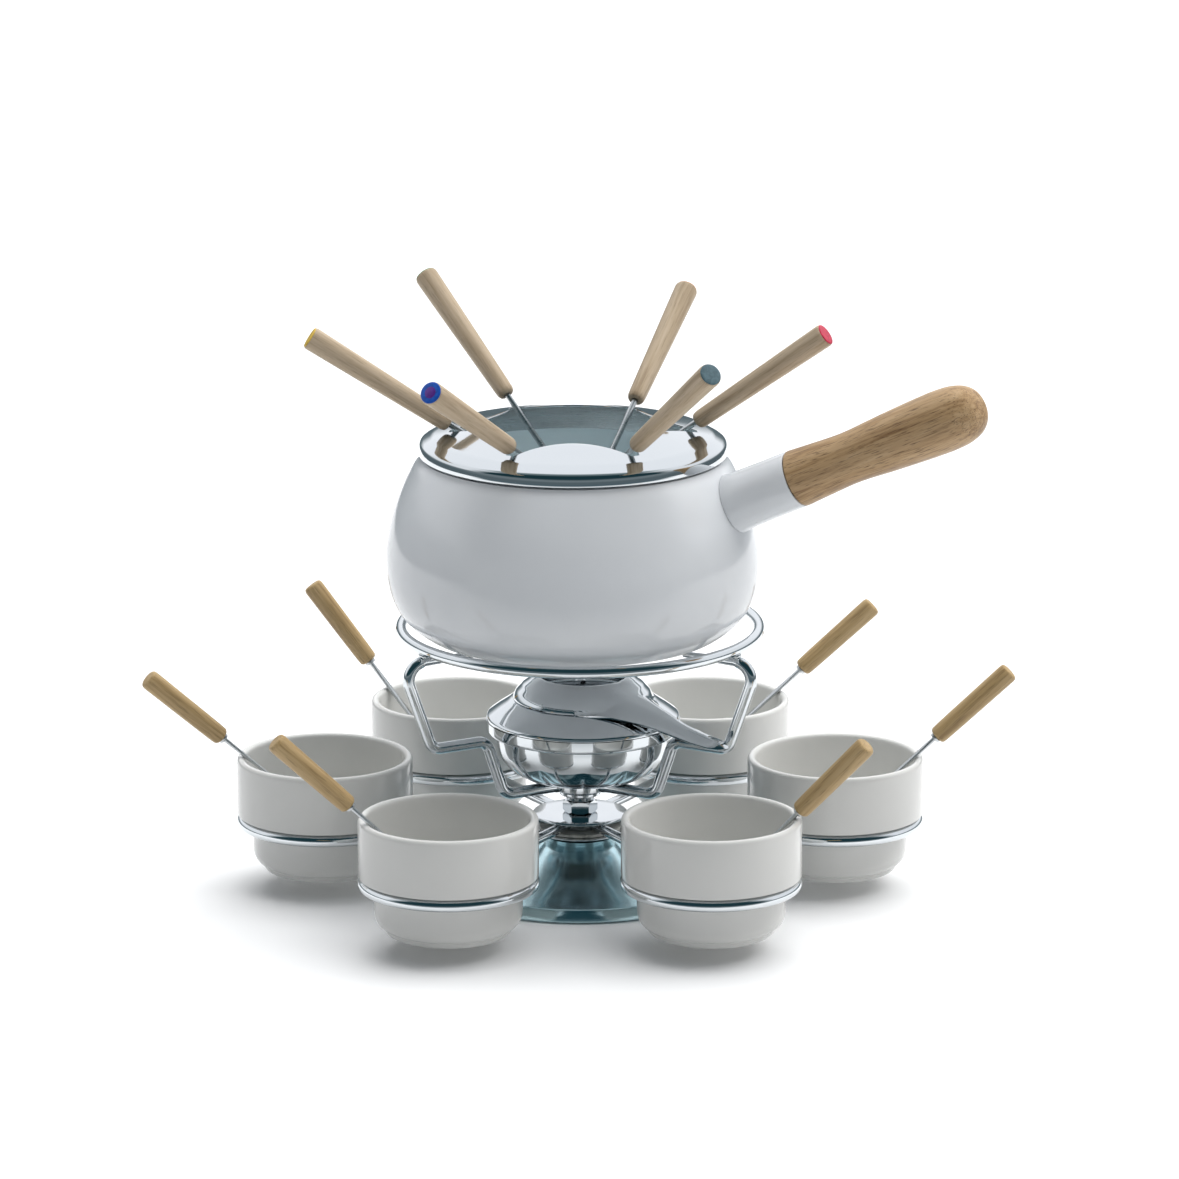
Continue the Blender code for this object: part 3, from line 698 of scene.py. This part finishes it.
def steady(x, xs, ys):
    """A smooth curve through a table of values, level at its ends."""
    xs, ys = np.array(xs, float), np.array(ys, float)
    slopes = np.gradient(ys, xs)
    x = float(np.clip(x, xs[0], xs[-1]))
    k = int(np.clip(np.searchsorted(xs, x) - 1, 0, len(xs) - 2))
    gap = xs[k + 1] - xs[k]
    t = (x - xs[k]) / gap
    return float((2 * t ** 3 - 3 * t * t + 1) * ys[k] + (t ** 3 - 2 * t * t + t) * gap * slopes[k]
                 + (3 * t * t - 2 * t ** 3) * ys[k + 1] + (t ** 3 - t * t) * gap * slopes[k + 1])


DOME_MOUTH, DOME_EDGE = 21.6, 36.0
DOME = [(DOME_MOUTH, 109.7), (22.2, 110.3), (23.2, 110.35), (26.6, 108.6), (31.0, 105.7), (34.4, 102.2), (35.7, 99.9),
        (DOME_EDGE, 98.7)]
LEVER_ALONG = [20, 28, 36, 44, 52, 62, 72, 80, 88]
LEVER_NEAR = [31, 26.5, 20.6, 15.4, 11.4, 8.3, 6.7, 6.3, 6.1]      # half width on the front side
LEVER_FAR = [31, 23.5, 15.8, 10.9, 8.6, 7.0, 6.4, 6.2, 6.1]        # half width on the back side
LEVER_RIDGE = [106, 104.5, 102.9, 100.9, 98.6, 95.3, 92.9, 91.4, 90.3]
LEVER_EDGE = [98.7, 98.2, 97.2, 95.4, 92.8, 90.0, 87.9, 86.8, 86.4]
LEVER_TIP, TIP_RADIUS = 86.4, 6.1       # where the rounded end starts, and its radius


def lever_half(along, side):
    """The lever's half width on one side, at a distance along it."""
    if along > LEVER_TIP:
        return math.sqrt(max(0.0, TIP_RADIUS ** 2 - (along - LEVER_TIP) ** 2))
    return steady(along, LEVER_ALONG, LEVER_NEAR if side < 0 else LEVER_FAR)


def lever_edge(turn):
    """The regulator's outer radius at an angle from its lever's centreline."""
    edge = DOME_EDGE
    if abs(turn) < math.radians(75):
        for far in np.arange(36, 93, 0.1):
            along, side = far * math.cos(turn), far * math.sin(turn)
            if along < 93 and abs(side) <= lever_half(along, side):
                edge = float(far)
    return edge


def lever_height(along, side, r, dome_height):
    """The height of the lever, which rises out of the dome between 24 and 33 mm from the middle."""
    across = min(1.0, abs(side) / max(lever_half(along, side), 0.3))
    if along > LEVER_TIP:
        across = min(1.0, math.hypot(side, along - LEVER_TIP) / TIP_RADIUS)
    ridge = steady(along, LEVER_ALONG, LEVER_RIDGE)
    low = steady(along, LEVER_ALONG, LEVER_EDGE)
    bar = low + (ridge - low) * (1 - max(0.0, (across - 0.2) / 0.8) ** 1.9)
    if r > DOME_EDGE:
        return bar
    reach = min(1.0, max(0.0, (r - 24) / 9))
    return max(dome_height, bar * reach + dome_height * (1 - reach))


def make_regulator():
    dome_r, dome_z = zip(*DOME)
    shares = [0, 0.02, 0.05, 0.1] + [0.1 + 0.9 * k / 26 for k in range(1, 27)]
    fine = [LEVER_HEADING + math.radians(d) for d in np.arange(-60, 60, 1.0)]
    coarse = [LEVER_HEADING + math.radians(d) for d in np.arange(60, 300, 3.0)]
    bm = bmesh.new()
    columns = []
    for angle in fine + coarse:
        turn = (angle - LEVER_HEADING + math.pi) % math.tau - math.pi
        edge = lever_edge(turn)
        share_of_lever = min(1.0, (edge - DOME_EDGE) / 7)
        column = []
        for share in shares:
            r = DOME_MOUTH + (edge - DOME_MOUTH) * share
            z = dome_height = float(np.interp(r, dome_r, dome_z))
            if share_of_lever > 0:
                lever = lever_height(r * math.cos(turn), r * math.sin(turn), r, dome_height)
                z += (lever - dome_height) * share_of_lever
            column.append(bm.verts.new((r * math.cos(angle) * MM, r * math.sin(angle) * MM, z * MM)))
        columns.append(column)
    for a, b in zip(columns, columns[1:] + columns[:1]):
        for k in range(len(shares) - 1):
            bm.faces.new((a[k], a[k + 1], b[k + 1], b[k]))
    sheet = to_mesh(bm, "regulator_plate", 60)
    slot = lofted("slot", [(70, 4.4, 1.7), (110, 4.4, 1.7)], 24, power=0.7)
    slot.transform(Matrix.Rotation(LEVER_HEADING, 4, "Z") @ Matrix.Translation((84.5 * MM, 0, 0)))
    plate = finished(sheet, relax=2, thickness=1.2, bevel=0.35, cutter=slot, sharp=45)
    piece("regulator_plate", plate, POLISHED, "regulator", "regulator",
          Matrix.Translation((axis_of("fuel_cup").translation.x, 0, 0)))


# Pot -------------------------------------------------------------------------------

HANDLE_HEADING, HANDLE_TILT = math.radians(-20), math.radians(25)
HANDLE_REACH, HANDLE_HEIGHT = 110, 218.3


def make_pot():
    matrix = axis_of("splash_guard")
    outside = flowing([(66, 132.3), (70.6, 132.7), (76.5, 134.9), (84.5, 140.9), (90.3, 148.6), (93.8, 159),
                       (95, 171), (94.1, 183), (91.2, 196), (86.8, 208), (81.4, 219.0), (78.2, 223.2)], 6)
    lip = [(77.3, 224.4), (77.0, 225.2), (76.3, 225.6), (75.3, 225.6), (74.75, 225.1), (74.75, 223.9)]
    inside = flowing([(75.4, 222.8), (79.6, 217.6), (84.8, 207.2), (89.2, 195.4), (92, 182.6), (93, 171),
                      (91.9, 159.6), (88.6, 149.8), (83.2, 142.8), (76, 137.4), (66, 134.5)], 6)
    piece("enamel_pot", turned("enamel_pot", [(0, 132.3)] + outside + lip + inside + [(0, 134.3)], 200), POT_ENAMEL,
          "pot", "pot_body", matrix)

    start = Vector((HANDLE_REACH * math.cos(HANDLE_HEADING), HANDLE_REACH * math.sin(HANDLE_HEADING),
                    HANDLE_HEIGHT)) * MM
    along = (Matrix.Translation(start) @ Matrix.Rotation(HANDLE_HEADING, 4, "Z")
             @ Matrix.Rotation(math.pi / 2 - HANDLE_TILT, 4, "Y"))
    tube = eased([(0, -40), (16.2, -40), (15.4, -26), (14.8, -17), (14.6, -6), (14.6, 9.8), (13.1, 9.8), (13.1, -14),
                  (0, -14)], 0.7)
    socket = turned("socket_tube", tube, 96)
    socket.transform(along)
    clear = [(r + 0.3 if r else 0, z) for r, z in [(0, 132.3)] + outside] + [(77.6, 226.5), (0, 226.5)]
    socket = finished(socket, cutter=turned("clearance", clear, 200))
    piece("enamel_socket", socket, ENAMEL, "pot", "handle_socket", matrix)

    wood = ([(0, 62), (2.9, 62), (2.9, -10), (12.7, -10), (12.7, 10.1), (13.7, 10.15)]
            + flowing([(14.2, 10.4), (14.6, 11.2), (14.3, 16), (13.7, 26), (13.1, 38), (13.3, 47), (14.1, 58),
                       (15.0, 73), (15.6, 87), (15.7, 95), (15.1, 103), (13.2, 109.4), (10.4, 113.4), (7, 115.6),
                       (3.4, 116.4)], 5) + [(0, 116.5)])
    piece("oak_grip", turned("oak_grip", wood, 120, sharp=50), OAK, "pot", "pot_handle",
          matrix @ along)
    keep("handle_rod", SATIN)


# Guard and forks ---------------------------------------------------------------------

NOTCH_FLOOR = 62.6                      # the guard's inner radius between two tabs
TAB_CENTRE, TAB_RADIUS = 84.9, 41.5
CREASE_RADIUS, CREASE_HEIGHT = 71.0, 235.92
TAB_SLOPE = 0.2


def tab_edge(turn):
    """Radius of the guard's inner edge, by the angle from the middle of a tab."""
    inside = TAB_RADIUS ** 2 - (TAB_CENTRE * math.sin(turn)) ** 2
    arc = TAB_CENTRE * math.cos(turn) - math.sqrt(inside) if inside > 0 else NOTCH_FLOOR
    return min(NOTCH_FLOOR, arc)


def make_guard():
    matrix = axis_of("splash_guard")
    steps = 360
    rim = [(CREASE_RADIUS, CREASE_HEIGHT), (72.2, 235.3), (74.0, 234.3), (75.8, 233.3), (77.1, 232.5), (77.6, 231.8),
           (77.9, 230.8), (78.1, 229.4), (78.3, 227.8), (78.2, 226.9), (77.9, 226.4)]
    bm = bmesh.new()
    columns = []
    for k in range(steps):
        angle = math.tau * k / steps
        turn = (angle % (math.pi / 3)) - math.pi / 6
        edge = tab_edge(turn)
        column = []
        for j in range(9):
            r = edge + (CREASE_RADIUS - edge) * j / 9
            column.append((r, CREASE_HEIGHT + (CREASE_RADIUS - r) * TAB_SLOPE))
        column += rim
        columns.append([bm.verts.new((r * math.cos(angle) * MM, r * math.sin(angle) * MM, z * MM))
                        for r, z in column])
    for a, b in zip(columns, columns[1:] + columns[:1]):
        for k in range(len(a) - 1):
            bm.faces.new((a[k], a[k + 1], b[k + 1], b[k]))
    sheet = finished(to_mesh(bm, "guard_sheet", 60), thickness=1.0, bevel=0.3, sharp=45)
    piece("fork_guard", sheet, POLISHED, "guard", "splash_guard", matrix)
    collar = eased([(72.7, 222.4), (73.6, 222.4), (73.6, 234.2), (72.7, 234.2)], 0.3)
    piece("guard_collar", turned("guard_collar", collar, 180), SATIN, "guard", matrix=matrix)


def tine_mesh():
    """A fork's shaft with its two barbed tines."""
    shaft = swept("shaft", [(0, 0, z) for z in (18, 0, -40, -80, -98, -103, -106)],
                  [1.5, 1.5, 1.5, 1.5, 1.5, 1.45, 1.0], 24)
    for side in (-1, 1):
        path = [(0, 0.3 * side, -97), (0, 0.8 * side, -100.5), (0, 1.5 * side, -103.5), (0, 1.95 * side, -107),
                (0, 2.0 * side, -112), (0, 2.0 * side, -124), (0, 2.0 * side, -134), (0, 2.0 * side, -138),
                (0, 2.0 * side, -139.8)]
        tine = swept("tine", path, [0.7, 0.85, 0.9, 0.88, 0.85, 0.82, 0.78, 0.5, 0.12], 16)
        barb = lofted("barb", [(-137.0, 0.3, 0.3, 2.2 * side), (-134.5, 0.5, 0.55, 2.45 * side),
                               (-132.6, 0.3, 0.3, 2.6 * side), (-132.2, 0.1, 0.1, 2.7 * side)], 12)
        shaft = finished(finished(shaft, union=tine), union=barb)
    return shaft


def make_forks():
    shaft = tine_mesh()
    wood = [(0, 20), (1.9, 20), (1.9, 0.2), (2.6, 0.1)] + flowing(
        [(3.0, 0.25), (3.8, 0.8), (4.35, 2.0), (4.6, 4.2), (4.8, 14), (5.2, 36), (5.65, 60), (5.95, 78), (5.98, 82.2),
         (5.7, 83.2), (5.2, 83.5)], 4) + [(0, 83.5)]
    handle = turned("fork_handle", wood, 64, sharp=50)
    dab = [(0, 83.3), (5.4, 83.3), (5.6, 83.5)] + flowing([(5.5, 83.7), (5.0, 83.9), (3.6, 84), (1.5, 84)], 3) + [
        (0, 84)]
    cap = turned("end_dab", dab, 64, sharp=60)
    centre = turned("end_centre", [(0, 83.8), (2.9, 83.8), (3.0, 84.05), (2.2, 84.2), (0, 84.25)], 48, sharp=60)
    for index in STATIONS:
        matrix = slide_frame(f"fork_{index}_pull", f"fork_handle_{index}")
        body = f"fork_{index}"
        piece(f"tines_{index}", shaft, SATIN, body, f"fork_shaft_{index}", matrix)
        piece(f"long_handle_{index}", handle, FORK_BEECH, body, f"fork_handle_{index}", matrix)
        piece(f"colour_mark_{index}", cap, lacquer(f"paint_{index}", PAINTS[index]), body,
              matrix=matrix)
        if index == 5:
            piece("colour_mark_5_centre", centre, VIOLET, body, matrix=matrix)


# Stage -----------------------------------------------------------------------------

WHITE = (0.93, 0.935, 0.94)
# Painted shade on the floor that reflections see, in front of the set.
PAINTED_SHADE_AHEAD = (0.07, 0.10, 0.115)
CAMERA_PLACE, CAMERA_AIM = (0.0048, -3.4, 1.02), (0.0048, 0, 0.155)


def disc(name, radius, height, colour, shade_ahead=None):
    """A round floor. Its colour can run to a painted shade from 0.2 to 0.55 m in front of the set."""
    bm = bmesh.new()
    bmesh.ops.create_circle(bm, cap_ends=True, segments=96, radius=radius)
    mesh = bpy.data.meshes.new(name)
    bm.to_mesh(mesh)
    bm.free()
    obj = bpy.data.objects.new(name, mesh)
    obj.location.z = height
    bpy.context.scene.collection.objects.link(obj)
    finish = Finish(name, colour, roughness=0.9, specular_ior_level=0.0)
    if shade_ahead:
        split = finish.node("ShaderNodeSeparateXYZ")
        finish.join(finish.place, split.inputs[0])
        finish.colour(finish.mix(finish.span(split.outputs["Y"], 0.0, 1.0, -0.55, -0.2), shade_ahead, colour))
    mesh.materials.append(finish.material)
    return obj


def make_floors():
    """The camera, reflections and soft light each see a floor of their own. The lower two don't shade the others."""
    floor = disc("floor", 9.0, -0.0001, WHITE)
    floor.visible_glossy = floor.visible_diffuse = floor.visible_shadow = False
    # Reflections see this floor darken in front of the set: painted shade.
    top = disc("floor_reflected", 1.6, -0.0002, WHITE, PAINTED_SHADE_AHEAD)
    top.visible_camera = top.visible_diffuse = top.visible_shadow = False
    bounce = disc("floor_bounce", 6.0, -0.0003, (0.66, 0.665, 0.67))
    bounce.visible_camera = bounce.visible_glossy = bounce.visible_shadow = False


def make_world():
    """Soft light comes from a room that is pale behind and to the right, and dark in front. Reflections see soft
    boxes above, behind and beside the set instead, and a dim wall low down."""
    world = bpy.data.worlds.new("studio")
    studio = Nodes(world)
    bpy.context.scene.world = world
    split = studio.node("ShaderNodeSeparateXYZ")
    studio.join(studio.node("ShaderNodeTexCoord").outputs["Generated"], split.inputs[0])
    across, back, up = split.outputs
    depth = studio.span(back, 0.0, 1.0, -1.0, 1.0)
    room = studio.ramp(depth, (0.0, (0.01, 0.02, 0.025)), (0.5, (0.22, 0.23, 0.24)), (1.0, (0.66, 0.67, 0.69)))
    room = studio.mix(studio.span(across, 0.0, 0.75, 0.1, 0.9), room, (0.62, 0.61, 0.60))

    boxes = studio.ramp(depth, (0.32, (0.012, 0.038, 0.048)), (0.46, (0.13, 0.17, 0.18)),
                        (0.55, (0.19, 0.24, 0.255)), (0.63, (0.95, 0.965, 1.0)))
    sideways = studio.math("MULTIPLY", studio.span(studio.math("ABSOLUTE", across), 0.0, 1.0, 0.5, 0.72),
                           studio.span(back, 0.0, 1.0, -0.35, -0.05))
    boxes = studio.mix(sideways, boxes, (0.85, 0.87, 0.90))
    wall = studio.ramp(up, (0.0, (0.10, 0.13, 0.145)), (0.12, (0.20, 0.235, 0.25)))
    reflected = studio.mix(studio.span(up, 0.0, 1.0, 0.10, 0.22), wall, boxes)

    is_reflection = studio.node("ShaderNodeLightPath").outputs["Is Glossy Ray"]
    background = studio.tree.nodes["Background"]
    background.inputs["Strength"].default_value = 1.2
    studio.join(studio.mix(is_reflection, room, reflected), background.inputs["Color"])


def make_stage():
    """Floors, a room, one broad light from above the back right, and the camera."""
    make_floors()
    make_world()

    light = bpy.data.lights.new("overhead", "SUN")
    light.angle, light.energy = math.radians(80), 3.75
    lamp = bpy.data.objects.new("overhead", light)
    lamp.rotation_euler = Vector((0.26, 0.32, 1)).to_track_quat("Z", "Y").to_euler()
    lamp.visible_glossy = lamp.visible_camera = False
    bpy.context.scene.collection.objects.link(lamp)

    data = bpy.data.cameras.new("camera")
    data.lens = 210.7
    data.sensor_width = 36
    camera = bpy.data.objects.new("camera", data)
    camera.location = CAMERA_PLACE
    aim = Vector(CAMERA_AIM) - camera.location
    camera.rotation_euler = aim.to_track_quat("-Z", "Y").to_euler()
    bpy.context.scene.collection.objects.link(camera)
    bpy.context.scene.camera = camera
    bpy.context.scene.view_settings.view_transform = "Standard"
    bpy.context.scene.cycles.diffuse_bounces = 8


make_stage()
make_pedestal()
make_legs()
make_carousel()
make_bowls()
make_spreaders()
make_burner()
make_regulator()
make_pot()
make_guard()
make_forks()
